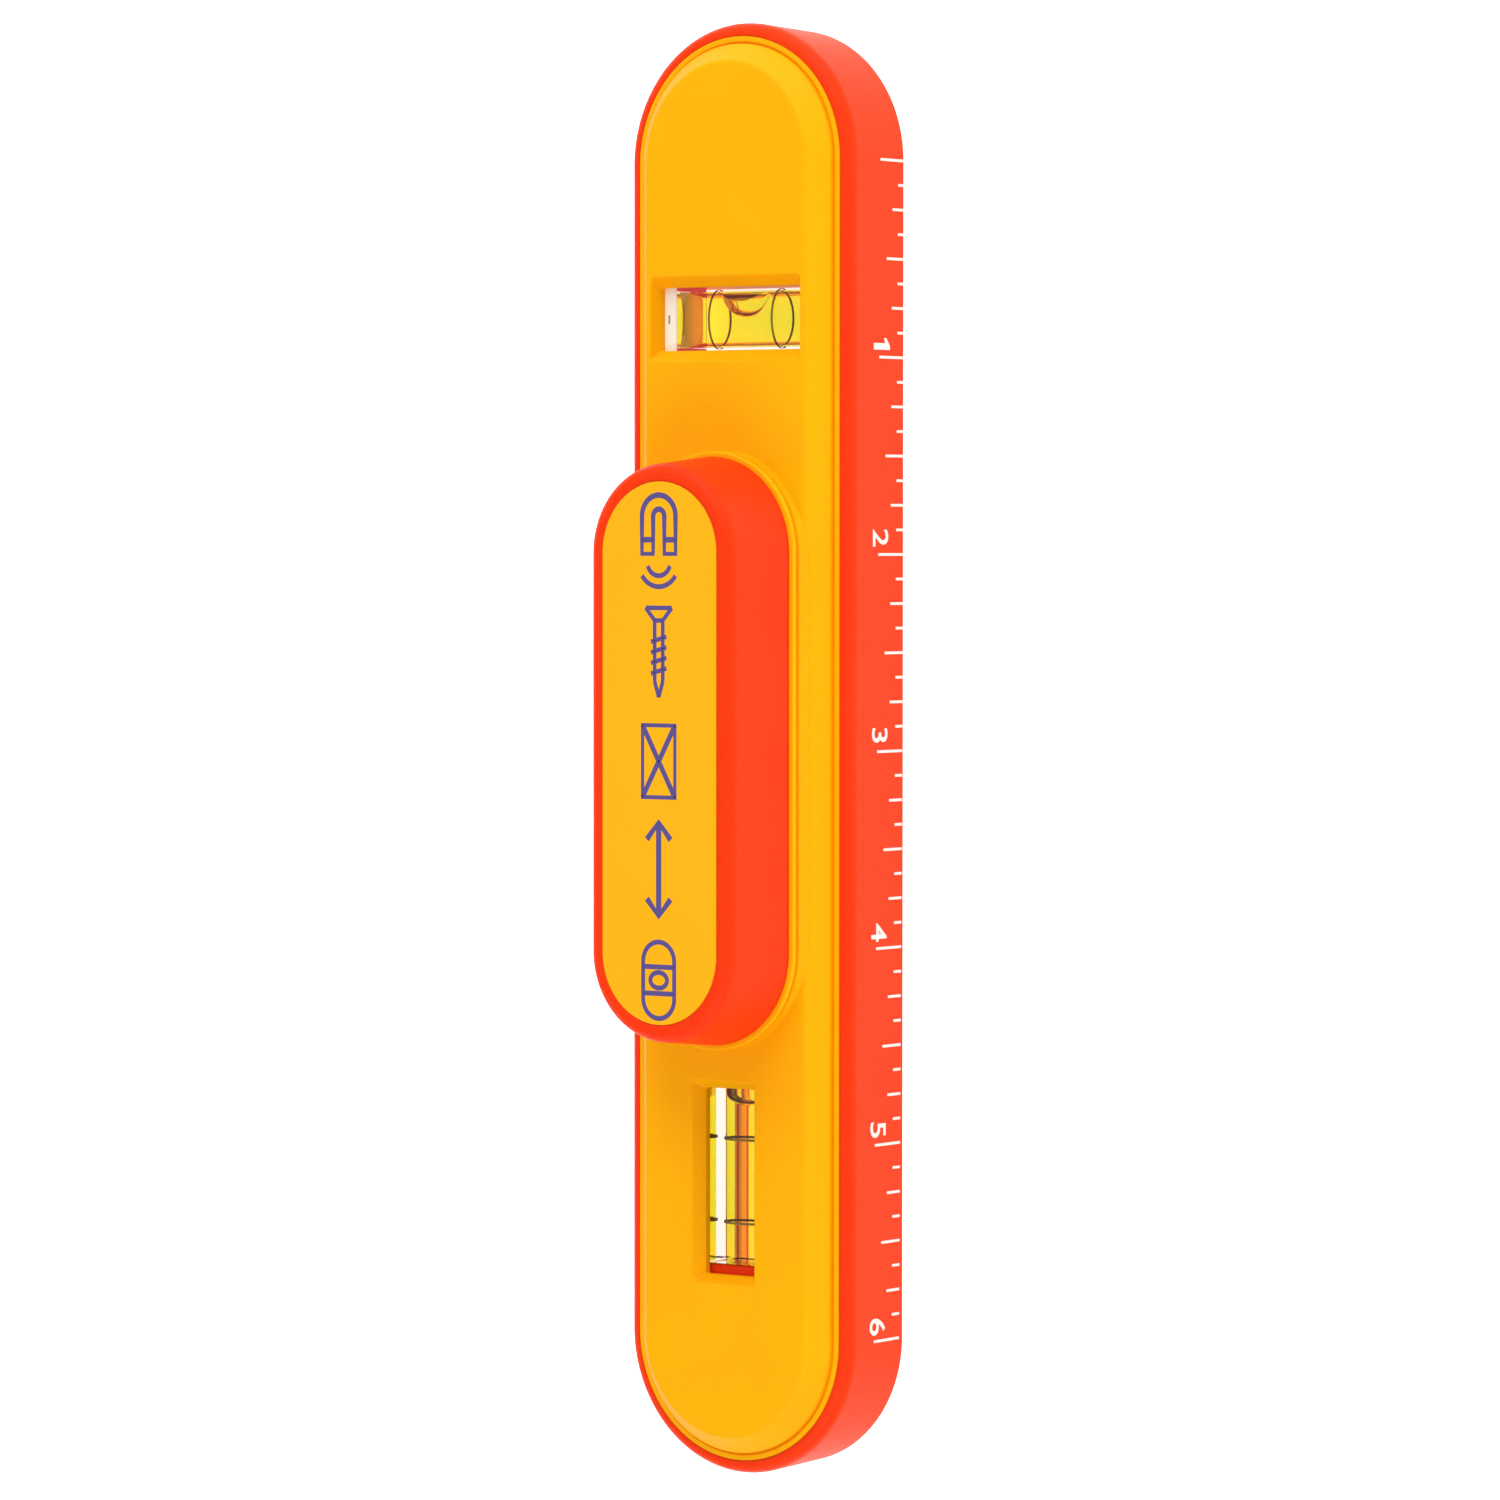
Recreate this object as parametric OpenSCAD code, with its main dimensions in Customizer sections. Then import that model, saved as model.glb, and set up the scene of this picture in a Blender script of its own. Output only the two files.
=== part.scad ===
// Magnetic stud finder with two level vials and a six-inch ruler edge.
// It lies on its back: Z = 0 is the face that slides over the wall, +Z points
// away from the wall, Y runs along the tool and +X is the ruler side.

/* [Body] */
// Half length of the straight sides, which carry the six-inch ruler
body_half = 76.2; // [70:0.1:84]
// Half width of the tray at its back edge
tray_r = 17.5; // [17.5:0.1:18.5]
// How much wider each side of the tray is at the front, for the mould draft
tray_draft = 0.4; // [0:0.1:0.6]
// Height of the tray
tray_h = 12.4; // [12.4:0.1:12.6]
// Rounding of the tray's front edge
tray_round = 1.65; // [0.8:0.05:1.65]
// Thickness of the tray's back wall
floor_t = 2; // [2:0.1:2.2]

/* [Cover] */
// Half width of the cover
cover_r = 16.15; // [16.05:0.05:16.2]
// Half width of the cover's flat top
flat_r = 12.6; // [12.4:0.05:12.7]
// Height of the flat top over the back
flat_z = 15.4; // [15.2:0.1:15.5]
// Thickness of the cover's top wall
cover_t = 2.4; // [2.2:0.1:2.5]

/* [Handle] */
// Half length of the handle's straight sides
grip_half = 25.6; // [24:0.1:27]
// Half width at the foot of the handle
grip_foot_r = 12.4; // [12:0.1:12.5]
// Half width at the top of the handle
grip_top_r = 11.5; // [11.2:0.1:12]
// Height at which the handle meets the cover's collar
grip_foot_z = 18; // [17.5:0.1:18.5]
// Height of the handle's flat top
grip_top_z = 29.3; // [28:0.1:31]
// Half width of the label
label_r = 9.15; // [8:0.05:9.3]

/* [Level vials] */
// Width of the square-sided vial
vial_w = 9.5; // [9.3:0.1:9.8]
// Radius of the vial's bore
bore_r = 3.65; // [3.5:0.05:3.8]
// Length of the crosswise vial's clear body
cross_len = 22; // [22:0.1:22.4]
// Length of the lengthwise vial's clear body
long_len = 23.9; // [23.6:0.1:24.2]
// Place of the crosswise window along the tool
cross_y = 55.9; // [55.5:0.1:57]
// Place of the lengthwise window along the tool
long_y = -56; // [-56.4:0.1:-55.6]
// Distance between the marking rings of the crosswise vial
cross_gap = 10.16; // [9.5:0.1:10.6]
// Distance between the marking rings of the lengthwise vial
long_gap = 10.9; // [9.5:0.1:11.2]

/* [Magnets] */
// Diameter of each disc magnet
magnet_d = 19.05; // [18:0.05:19.1]
// Thickness of each disc magnet
magnet_t = 6.35; // [5:0.05:6.4]
// Distance of each magnet's axis from the middle of the tool
magnet_y = 15; // [14.5:0.1:15.5]

/* [Hidden] */
$fn = 64;
EPS = 0.05;
fit_gap = 0.05;            // play between parts that drop into each other
foot_chamfer = 0.25;       // edge of the tray at its back face
inch = 25.4;
draft_z = tray_h - tray_round;
tray_front_r = tray_r + tray_draft;
ledge_z = 11.2;            // where the cover's rim sits down in the tray
cavity_r = 15;             // half width of the space inside the tray
under_z = flat_z - cover_t; // underside of the cover's top wall
step_r = cover_r - 1;       // foot of the cover's bevel, inside a flat lip
step_h = 0.55;             // height of the step from the lip to the bevel
collar_r = 13.05;          // half width of the collar under the handle
collar_flare = 0.2;        // how much wider the collar's foot is
collar_edge = 0.25;
rim_r = 13.6;              // inside of the cover's downward rim
window_t = 0.9;            // straight part of a window below its chamfer

// Windows: half sizes of the opening and of the chamfer's outer edge
cross_open = [11.5, 4.1];
cross_edge = [12.3, 5.55];
long_open = [4.1, 12.15];
long_edge = [5.35, 13.25];

// Vials: the block fills the space between the tray's floor and the cover
vial_h = under_z - floor_t;
axis_z = floor_t + vial_h / 2;
cap_t = 2.35;              // thickness of an end cap's flange
spigot_l = 0.6;            // how far a cap reaches into the bore
gate_mark = [0.36, 1.2];   // blind slot left by the mould on the front of each cap
gate_depth = 0.8;
end_wall = 0.5;            // thickness of a vial's closed end
ring_t = 0.1;
ring_w = 0.35;
long_ring_y = -56.12;      // middle of the lengthwise vial's two rings
cross_x0 = -9.65;          // end of the crosswise body that the cap closes
long_y0 = -66.8;           // closed end of the lengthwise body
long_y1 = long_y0 + long_len;
liquid_r = bore_r - ring_t;
bubble_r = liquid_r - 0.1;
cross_bubble_x = -0.7;     // where the bubble of the level tool stands
cross_bubble_l = 7.4;
cross_bubble_h = 3.1;
cross_bubble_w = 6.2;
bubble_edge = 0.9;         // how much the lengthwise bubble's faces are domed
bubble_gap = 0.06;         // film between each bubble and its liquid
long_bubble_l = 2.7;
long_bubble_gap = 0.15;    // between the lengthwise bubble and the cap's spigot
ring_gap = 0.005;          // play of a ring against the bore and the liquid
rib_t = 1.2;
rib_h = 8;
cradle_gap = 0.15;
stop_t = 1.6;              // stop behind the closed end of the lengthwise vial
stop_z = 11.9;

// Fasteners
screw_r = 1.25;
pilot_r = screw_r + fit_gap;
hole_r = 1.45;
head_r = 2.4;
sink_h = 1.3;
sink_depth = 0.1;          // a countersunk head lies this far under the back face
pan_h = 1.6;
cover_screw_l = 11.6;
handle_screw_l = 9.5;
retainer_screw_l = 7.5;
recess_l = 2.6;            // cross recess in each screw head
recess_w = 0.5;
recess_depth = 0.7;
post_r = 3.2;
post_split_z = 8;           // the cover's posts stand on the tray's at this height
cover_post_r = 3;
pilot_stop = 0.4;           // solid left over the end of a blind pilot hole
cover_screw_at = [[0, 82], [0, -82], [11.6, 0], [-11.6, 0]];
handle_screw_y = 18;
retainer_screw_y = 30;
magnet_floor = 1.2;
magnet_top = magnet_floor + magnet_t;
retainer_t = 2;
retainer_r = 7;
light_hole_r = 3.5;        // holes that lighten the retainer over the magnets
magnet_edge = 0.3;
grip_wall = 1.8;
grip_top_wall = 2;
collar_wall = 1.9;         // from the foot of the handle to the hollow under it
grip_round = 1.7;
label_t = 0.5;
hollow_z = 16;             // top of the hollow under the handle's collar

// Ruler
tick_pitch = inch / 8;
tick_t = 0.35;
tick_proud = 0.06;
tick_long = [5.8, 4.2, 2.95, 1.65]; // inch, half, quarter and eighth marks
ruler_start = -0.45;       // where the print would begin, from the foot of the wall
ruler_drift = 1.24;        // how far the print has drifted forward at the sixth inch
tick_count = 48;

// ---- shared shapes ----

// A quarter arc in the (radius, height) plane, from angle a0 to a1
function arc(cr, cz, r, a0, a1, n = 6) = [
    for (i = [0 : n])
        let (a = a0 + (a1 - a0) * i / n) [cr + r * cos(a), cz + r * sin(a)]
];

// A long round-ended solid: the half profile [radius, height] is swept along
// the straight sides and turned about the axis of each end
module oblong(profile, half) {
    mirrored = [for (i = [len(profile) - 1 : -1 : 0]) [-profile[i][0], profile[i][1]]];
    translate([0, half, 0]) rotate([90, 0, 0])
        linear_extrude(height = 2 * half) polygon(concat(profile, mirrored));
    translate([0, half, 0]) rotate_extrude(angle = 180) polygon(profile);
    translate([0, -half, 0]) rotate([0, 0, 180]) rotate_extrude(angle = 180) polygon(profile);
}

// The same with straight upright sides
module oblong_block(r, half, z0, z1) {
    oblong([[0, z0], [r, z0], [r, z1], [0, z1]], half);
}

// A box given by its half sizes in plan and its two heights
module slab(half, z0, z1) {
    translate([-half[0], -half[1], z0]) cube([2 * half[0], 2 * half[1], z1 - z0]);
}

// A window: straight below, chamfered above
module window_cut(open, edge) {
    slab(open, under_z - 1, under_z + window_t + EPS);
    hull() {
        slab(open, under_z + window_t, under_z + window_t + EPS / 2);
        slab(edge, flat_z, flat_z + 1);
    }
}

module post(at, r, z0, z1) {
    translate([at[0], at[1], z0]) cylinder(h = z1 - z0, r = r);
}

// Walls that hold a vial on the tray's floor
module cradle(half, h) {
    difference() {
        slab([half[0] + rib_t, half[1] + rib_t], floor_t - EPS, h);
        slab(half, floor_t - 1, h + 1);
    }
}

// Round rod along X or Y through the middle of a vial
module rod_x(r, x0, x1) {
    translate([x0, cross_y, axis_z]) rotate([0, 90, 0]) cylinder(h = x1 - x0, r = r);
}
module rod_y(r, y0, y1) {
    translate([0, y0, axis_z]) rotate([-90, 0, 0]) cylinder(h = y1 - y0, r = r);
}

// Flat-head screw standing on its head, with a cross recess
module flat_screw(len) {
    difference() {
        union() {
            cylinder(h = sink_h, r1 = head_r - fit_gap, r2 = screw_r);
            cylinder(h = len, r = screw_r);
        }
        cross_recess();
    }
}

// Pan-head screw standing on its head
module pan_screw(len) {
    difference() {
        union() {
            cylinder(h = pan_h, r = head_r);
            cylinder(h = len, r = screw_r);
        }
        cross_recess();
    }
}

module cross_recess() {
    for (a = [0, 90]) rotate([0, 0, a]) translate([-recess_l / 2, -recess_w / 2, -EPS])
        cube([recess_l, recess_w, recess_depth + EPS]);
}

// ---- tray ----

module base_tray() {
    color([0.98, 0.28, 0.12]) difference() {
        union() {
            difference() {
                oblong(concat(
                    [[0, 0], [tray_r - foot_chamfer, 0], [tray_r, foot_chamfer]],
                    arc(tray_front_r - tray_round, draft_z, tray_round, 0, 90),
                    [[0, tray_h]]), body_half);
                oblong_block(cavity_r, body_half, floor_t, tray_h + 1);
                oblong_block(cover_r + fit_gap, body_half, ledge_z, tray_h + 1);
            }
            for (p = cover_screw_at) post(p, post_r, floor_t - EPS, post_split_z);
            for (s = [-1, 1]) {
                post([0, s * retainer_screw_y], post_r, floor_t - EPS, magnet_top);
                post([0, s * magnet_y], magnet_d / 2 + fit_gap + rib_t, floor_t - EPS, magnet_top - 1);
            }
            translate([(cross_x0 - cap_t + cross_x0 + cross_len) / 2, cross_y, 0])
                cradle([(cross_len + cap_t) / 2 + cradle_gap, vial_w / 2 + cradle_gap], rib_h);
            translate([0, (long_y0 + long_y1 + cap_t) / 2, 0])
                cradle([vial_w / 2 + cradle_gap, (long_len + cap_t) / 2 + cradle_gap], rib_h);
            // Stop behind the closed end of the lengthwise vial
            translate([0, long_y0 - cradle_gap - stop_t / 2, 0])
                slab([vial_w / 2, stop_t / 2], floor_t - EPS, stop_z);
        }
        for (p = cover_screw_at) {
            post(p, hole_r, -1, post_split_z + 1);
            translate([p[0], p[1], -EPS])
                cylinder(h = sink_h + EPS, r1 = head_r + EPS, r2 = hole_r);
        }
        for (s = [-1, 1]) {
            post([0, s * retainer_screw_y], pilot_r, floor_t + 1, magnet_top + 1);
            post([0, s * magnet_y], magnet_d / 2 + fit_gap, magnet_floor, magnet_top + 1);
        }
        translate([0, cross_y, 0]) slab(cross_open, -1, floor_t + 1);
        translate([0, long_y, 0]) slab(long_open, -1, floor_t + 1);
    }
}

// Printed scale on the straight side: eighths of an inch, longer at each
// quarter, half and inch, on the drafted wall from its back edge
module ruler_marks() {
    lean = atan(tray_draft / (draft_z - foot_chamfer));
    color("white") translate([tray_r, 0, foot_chamfer]) rotate([0, lean, 0])
        for (i = [0 : tick_count]) {
            kind = i % 8 == 0 ? 0 : i % 4 == 0 ? 1 : i % 2 == 0 ? 2 : 3;
            shift = ruler_start + ruler_drift * i / tick_count;
            low = max(0, shift);
            translate([0, body_half - i * tick_pitch - tick_t / 2, low])
                cube([tick_proud, tick_t, tick_long[kind] + shift - low]);
        }
}

// ---- cover ----

module front_cover() {
    color([1, 0.72, 0.05]) difference() {
        union() {
            oblong([[0, ledge_z], [cover_r, ledge_z], [cover_r, tray_h], [step_r, tray_h],
                [step_r, tray_h + step_h], [flat_r + 0.35, flat_z - 0.15], [flat_r, flat_z],
                [0, flat_z]], body_half);
            oblong([[0, under_z + 1], [collar_r + collar_flare, under_z + 1],
                [collar_r + collar_flare, flat_z - 0.2], [collar_r, flat_z + 0.4],
                [collar_r, grip_foot_z - collar_edge], [collar_r - collar_edge, grip_foot_z],
                [0, grip_foot_z]],
                grip_half);
        }
        oblong_block(rim_r, body_half, ledge_z - 1, under_z);
        oblong_block(grip_foot_r - collar_wall, grip_half, under_z - 1, hollow_z);
        translate([0, cross_y, 0]) window_cut(cross_open, cross_edge);
        translate([0, long_y, 0]) window_cut(long_open, long_edge);
        for (s = [-1, 1]) post([0, s * handle_screw_y], hole_r, hollow_z - 1, grip_foot_z + 1);
    }
    color([1, 0.72, 0.05]) for (p = cover_screw_at) difference() {
        post(p, cover_post_r, post_split_z + fit_gap, under_z);
        post(p, pilot_r, post_split_z - 1, under_z - pilot_stop);
    }
}

// ---- handle ----

module handle_shell() {
    inner_top = grip_top_z - grip_top_wall;
    color([0.98, 0.26, 0.12]) difference() {
        oblong(concat(
            [[0, grip_foot_z], [grip_foot_r, grip_foot_z]],
            arc(grip_top_r - grip_round, grip_top_z - grip_round, grip_round, 0, 90),
            [[0, grip_top_z]]), grip_half);
        difference() {
            oblong([[0, grip_foot_z - 1], [grip_foot_r - grip_wall, grip_foot_z - 1],
                [grip_top_r - grip_wall, inner_top], [0, inner_top]], grip_half);
            for (s = [-1, 1]) post([0, s * handle_screw_y], post_r, grip_foot_z, inner_top + 1);
        }
        for (s = [-1, 1]) post([0, s * handle_screw_y], pilot_r, grip_foot_z - 1, inner_top - 1);
        oblong_block(label_r + fit_gap, grip_half, grip_top_z - label_t, grip_top_z + 1);
    }
}

module handle_label() {
    color([1, 0.75, 0.1]) oblong_block(label_r, grip_half, grip_top_z - label_t, grip_top_z);
}

// ---- magnets ----

module magnet(side) {
    color([0.75, 0.76, 0.78]) translate([0, side * magnet_y, magnet_floor])
        rotate_extrude() polygon([[0, 0], [magnet_d / 2 - magnet_edge, 0], [magnet_d / 2, magnet_edge],
            [magnet_d / 2, magnet_t - magnet_edge], [magnet_d / 2 - magnet_edge, magnet_t],
            [0, magnet_t]]);
}

module magnet_retainer() {
    color([0.12, 0.12, 0.13]) difference() {
        oblong_block(retainer_r, retainer_screw_y, magnet_top, magnet_top + retainer_t);
        for (s = [-1, 1]) {
            post([0, s * retainer_screw_y], hole_r, magnet_top - 1, magnet_top + retainer_t + 1);
            post([0, s * magnet_y], light_hole_r, magnet_top - 1, magnet_top + retainer_t + 1);
        }
    }
}

// ---- crosswise vial ----

module cross_vial_body() {
    color([0.92, 0.95, 0.93, 0.4]) difference() {
        translate([cross_x0 + cross_len / 2, cross_y, 0])
            slab([cross_len / 2, vial_w / 2], floor_t, under_z);
        rod_x(bore_r, cross_x0 - 1, cross_x0 + cross_len - end_wall);
    }
}

module cross_vial_cap() {
    color("white") difference() {
        union() {
            translate([cross_x0 - cap_t / 2, cross_y, 0])
                slab([cap_t / 2, vial_w / 2], floor_t, under_z);
            rod_x(bore_r - fit_gap, cross_x0 - EPS, cross_x0 + spigot_l);
        }
        translate([cross_x0 - cap_t / 2, cross_y, 0])
            slab([gate_mark[0] / 2, gate_mark[1] / 2], under_z - gate_depth, under_z + EPS);
    }
}

// The bubble lies against the upper wall of the bore, which is the +Y side
// when the tool stands upright on a wall
module cross_bubble_shape(grow = 0) {
    intersection() {
        rod_x(bubble_r + grow, cross_bubble_x - 6, cross_bubble_x + 6);
        translate([cross_bubble_x, cross_y + bubble_r, axis_z])
            scale([cross_bubble_l / 2 + grow, cross_bubble_h + grow, cross_bubble_w / 2 + grow])
                sphere(r = 1, $fn = 40);
    }
}

module cross_vial_liquid() {
    color([0.88, 0.86, 0.15, 0.5]) difference() {
        rod_x(liquid_r, cross_x0 + spigot_l + EPS, cross_x0 + cross_len - end_wall - EPS);
        cross_bubble_shape(grow = bubble_gap);
    }
}

module cross_vial_bubble() {
    color([0.95, 0.97, 0.9, 0.4]) cross_bubble_shape();
}

module cross_ring(side) {
    color([0.1, 0.1, 0.08]) difference() {
        rod_x(bore_r - ring_gap, side * cross_gap / 2 - ring_w / 2, side * cross_gap / 2 + ring_w / 2);
        rod_x(liquid_r + ring_gap, side * cross_gap / 2 - 1, side * cross_gap / 2 + 1);
    }
}

// ---- lengthwise vial ----

module long_vial_body() {
    color([0.92, 0.95, 0.93, 0.4]) difference() {
        translate([0, (long_y0 + long_y1) / 2, 0])
            slab([vial_w / 2, long_len / 2], floor_t, under_z);
        rod_y(bore_r, long_y0 + end_wall, long_y1 + 1);
    }
}

module long_vial_cap() {
    color("white") difference() {
        union() {
            translate([0, long_y1 + cap_t / 2, 0]) slab([vial_w / 2, cap_t / 2], floor_t, under_z);
            rod_y(bore_r - fit_gap, long_y1 - spigot_l, long_y1 + EPS);
        }
        translate([0, long_y1 + cap_t / 2, 0])
            slab([gate_mark[1] / 2, gate_mark[0] / 2], under_z - gate_depth, under_z + EPS);
    }
}

// The bubble has risen to the upper end of the upright vial and fills the
// bore from side to side, rounded towards the liquid
module long_bubble_shape(grow = 0) {
    half = long_bubble_l / 2 + grow;
    r = bubble_r + grow;
    translate([0, long_y1 - spigot_l - long_bubble_gap - long_bubble_l / 2, axis_z]) rotate([-90, 0, 0])
        rotate_extrude() polygon(concat(
            [[0, -half]],
            [for (i = [1 : 6]) [r * i / 6, -half + bubble_edge * pow(i / 6, 2)]],
            [for (i = [6 : -1 : 1]) [r * i / 6, half - bubble_edge * pow(i / 6, 2)]],
            [[0, half]]));
}

module long_vial_liquid() {
    color([0.88, 0.86, 0.15, 0.5]) difference() {
        rod_y(liquid_r, long_y0 + end_wall + EPS, long_y1 - spigot_l - EPS);
        long_bubble_shape(grow = bubble_gap);
    }
}

module long_vial_bubble() {
    color([0.95, 0.97, 0.9, 0.4]) long_bubble_shape();
}

module long_ring(side) {
    mid = long_ring_y + side * long_gap / 2;
    color([0.1, 0.1, 0.08]) difference() {
        rod_y(bore_r - ring_gap, mid - ring_w / 2, mid + ring_w / 2);
        rod_y(liquid_r + ring_gap, mid - 1, mid + 1);
    }
}

// ---- fasteners ----

module cover_screws() {
    color([0.7, 0.7, 0.72]) for (p = cover_screw_at)
        translate([p[0], p[1], sink_depth]) flat_screw(cover_screw_l);
}

module handle_screws() {
    color([0.7, 0.7, 0.72]) for (s = [-1, 1])
        translate([0, s * handle_screw_y, hollow_z - pan_h]) pan_screw(handle_screw_l);
}

module retainer_screws() {
    color([0.7, 0.7, 0.72]) for (s = [-1, 1])
        translate([0, s * retainer_screw_y, magnet_top + retainer_t + pan_h])
            rotate([180, 0, 0]) pan_screw(retainer_screw_l);
}

base_tray();
front_cover();
handle_shell();
handle_label();
ruler_marks();
magnet(1);  // magnet_upper
magnet(-1);  // magnet_lower
magnet_retainer();
cross_vial_body();
cross_vial_cap();
cross_vial_liquid();
cross_vial_bubble();
cross_ring(-1);  // cross_ring_left
cross_ring(1);  // cross_ring_right
long_vial_body();
long_vial_cap();
long_vial_liquid();
long_vial_bubble();
long_ring(1);  // long_ring_upper
long_ring(-1);  // long_ring_lower
cover_screws();
handle_screws();
retainer_screws();
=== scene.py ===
"""Magnetic stud finder with two level vials and an inch ruler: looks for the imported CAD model.

The tool lies on its back on a pale floor. Shapes are worked out in mm and scaled by MM when they
become meshes. The camera, the lamps and the floor are placed in metres.
"""

import math

import bmesh
import bpy
from mathutils import Matrix, Vector


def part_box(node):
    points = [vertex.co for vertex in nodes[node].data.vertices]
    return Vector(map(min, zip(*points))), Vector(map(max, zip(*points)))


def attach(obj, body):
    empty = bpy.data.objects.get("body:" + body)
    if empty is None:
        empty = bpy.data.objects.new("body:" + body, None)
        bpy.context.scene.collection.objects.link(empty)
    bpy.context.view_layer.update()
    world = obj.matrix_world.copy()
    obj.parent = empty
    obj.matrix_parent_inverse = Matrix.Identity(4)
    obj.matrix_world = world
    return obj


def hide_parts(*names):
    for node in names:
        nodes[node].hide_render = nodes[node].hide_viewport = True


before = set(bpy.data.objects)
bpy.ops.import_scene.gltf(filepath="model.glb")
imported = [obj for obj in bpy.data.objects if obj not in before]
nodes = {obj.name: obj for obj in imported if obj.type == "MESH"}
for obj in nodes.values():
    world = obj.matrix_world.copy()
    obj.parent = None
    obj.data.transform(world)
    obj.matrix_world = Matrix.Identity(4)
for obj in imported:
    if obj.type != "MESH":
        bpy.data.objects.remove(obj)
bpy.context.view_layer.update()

MM = 0.001
ARC_STEPS = 96          # steps round each half-circle end


# ---------------------------------------------------------------- camera

def make_camera():
    """A long lens looking down at the face, from the ruler side."""
    forward = Vector((-0.59951, -0.03117, -0.79976))
    up = Vector((-0.01914, 0.99951, -0.02461))
    right = forward.cross(up).normalized()
    up = right.cross(forward).normalized()
    data = bpy.data.cameras.new("camera")
    data.sensor_width = 36.0
    data.lens = 169.03
    data.clip_end = 20.0
    camera = bpy.data.objects.new("camera", data)
    turn = Matrix((right, up, -forward)).transposed().to_4x4()
    camera.matrix_world = Matrix.Translation((0.5486, 0.0285, 0.7417)) @ turn
    bpy.context.scene.collection.objects.link(camera)
    bpy.context.scene.camera = camera


make_camera()


# ---------------------------------------------------------------- shared mesh tools

def link(name, bm, material, body="root", sharp=40.0, weighted=True):
    """Turns a bmesh into a piece: shaded smooth up to the sharp angle, riding on a body."""
    mesh = bpy.data.meshes.new(name)
    bm.to_mesh(mesh)
    bm.free()
    return dress(bpy.data.objects.new(name, mesh), material, body, sharp, weighted)


def dress(obj, material, body="root", sharp=40.0, weighted=True):
    """Gives a piece its material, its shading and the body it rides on."""
    if obj.name not in bpy.context.scene.collection.objects:
        bpy.context.scene.collection.objects.link(obj)
    obj.data.materials.clear()
    obj.data.materials.append(material)
    obj.data.shade_smooth()
    obj.data.set_sharp_from_angle(angle=math.radians(sharp))
    if weighted:
        even = obj.modifiers.new("even_normals", "WEIGHTED_NORMAL")
        even.keep_sharp = True
        even.weight = 100
    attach(obj, body)
    return obj


def arc(centre_r, centre_z, radius, start, end, steps=6):
    """Points of an arc in the (radius, height) plane, in mm, angles in degrees."""
    found = []
    for i in range(steps + 1):
        a = math.radians(start + (end - start) * i / steps)
        found.append((centre_r + radius * math.cos(a), centre_z + radius * math.sin(a)))
    return found


def ring_points(r, half, z, steps=ARC_STEPS):
    """One round-ended ring in mm, anticlockwise seen from above."""
    found = []
    for end, start in ((1, 0.0), (-1, 180.0)):
        for i in range(steps + 1):
            a = math.radians(start + 180.0 * i / steps)
            found.append((r * math.cos(a), end * half + r * math.sin(a), z))
    return found


def box_points(half_x, half_y, z, round_mm, centre=(0.0, 0.0), steps=6):
    """One rectangular ring with rounded corners, in mm."""
    found = []
    for sx, sy, start in ((1, 1, 0), (-1, 1, 90), (-1, -1, 180), (1, -1, 270)):
        for i in range(steps + 1):
            a = math.radians(start + 90.0 * i / steps)
            x = centre[0] + sx * (half_x - round_mm) + round_mm * math.cos(a)
            y = centre[1] + sy * (half_y - round_mm) + round_mm * math.sin(a)
            found.append((x, y, z))
    return found


def loft(rings, close=True):
    """A skin through rings of equal length, its ends filled if asked, from mm to metres."""
    bm = bmesh.new()
    made = [[bm.verts.new(Vector(p) * MM) for p in ring] for ring in rings]
    count = len(made[0])
    for low, high in zip(made, made[1:]):
        for i in range(count):
            j = (i + 1) % count
            bm.faces.new((low[i], low[j], high[j], high[i]))
    if close:
        bm.faces.new(list(reversed(made[0])))
        bm.faces.new(made[-1])
    bmesh.ops.remove_doubles(bm, verts=bm.verts, dist=1e-7)
    bmesh.ops.recalc_face_normals(bm, faces=bm.faces)
    return bm


def oblong(profile, half, steps=ARC_STEPS):
    """A long round-ended solid from its half profile, a list of (radius, height) in mm."""
    return loft([ring_points(r, half, z, steps) for r, z in profile])


def temp_object(bm, name="tool"):
    """Puts a bmesh into the scene as a bare object, to be cut, joined or dressed."""
    mesh = bpy.data.meshes.new(name)
    bm.to_mesh(mesh)
    bm.free()
    obj = bpy.data.objects.new(name, mesh)
    bpy.context.scene.collection.objects.link(obj)
    return obj


def combine(obj, tools, operation="DIFFERENCE"):
    """Cuts or joins the tools into obj for good, and removes them."""
    for tool in tools:
        step = obj.modifiers.new("step", "BOOLEAN")
        step.operation = operation
        step.solver = "EXACT"
        step.object = tool
        bpy.context.view_layer.update()
        graph = bpy.context.evaluated_depsgraph_get()
        mesh = bpy.data.meshes.new_from_object(obj.evaluated_get(graph))
        obj.modifiers.clear()
        old = obj.data
        obj.data = mesh
        bpy.data.meshes.remove(old)
        old_tool = tool.data
        bpy.data.objects.remove(tool)
        bpy.data.meshes.remove(old_tool)
    return obj


def block(half_x, half_y, z0, z1, centre=(0.0, 0.0), round_mm=0.4):
    """An upright block with rounded corners."""
    return temp_object(loft([box_points(half_x, half_y, z, round_mm, centre) for z in (z0, z1)]))


def rod(r, z0, z1, centre=(0.0, 0.0), steps=48, flare=0.0):
    """An upright cylinder, or a cone whose foot is wider by flare."""
    rings = []
    for z, radius in ((z0, r + flare), (z1, r)):
        ring = []
        for i in range(steps):
            a = math.tau * i / steps
            ring.append((centre[0] + radius * math.cos(a), centre[1] + radius * math.sin(a), z))
        rings.append(ring)
    return temp_object(loft(rings))


# ---------------------------------------------------------------- materials

def new_material(name):
    """A fresh material, its node tree and its main shader."""
    material = bpy.data.materials.new(name)
    material.use_nodes = True
    return material, material.node_tree, material.node_tree.nodes["Principled BSDF"]


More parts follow.
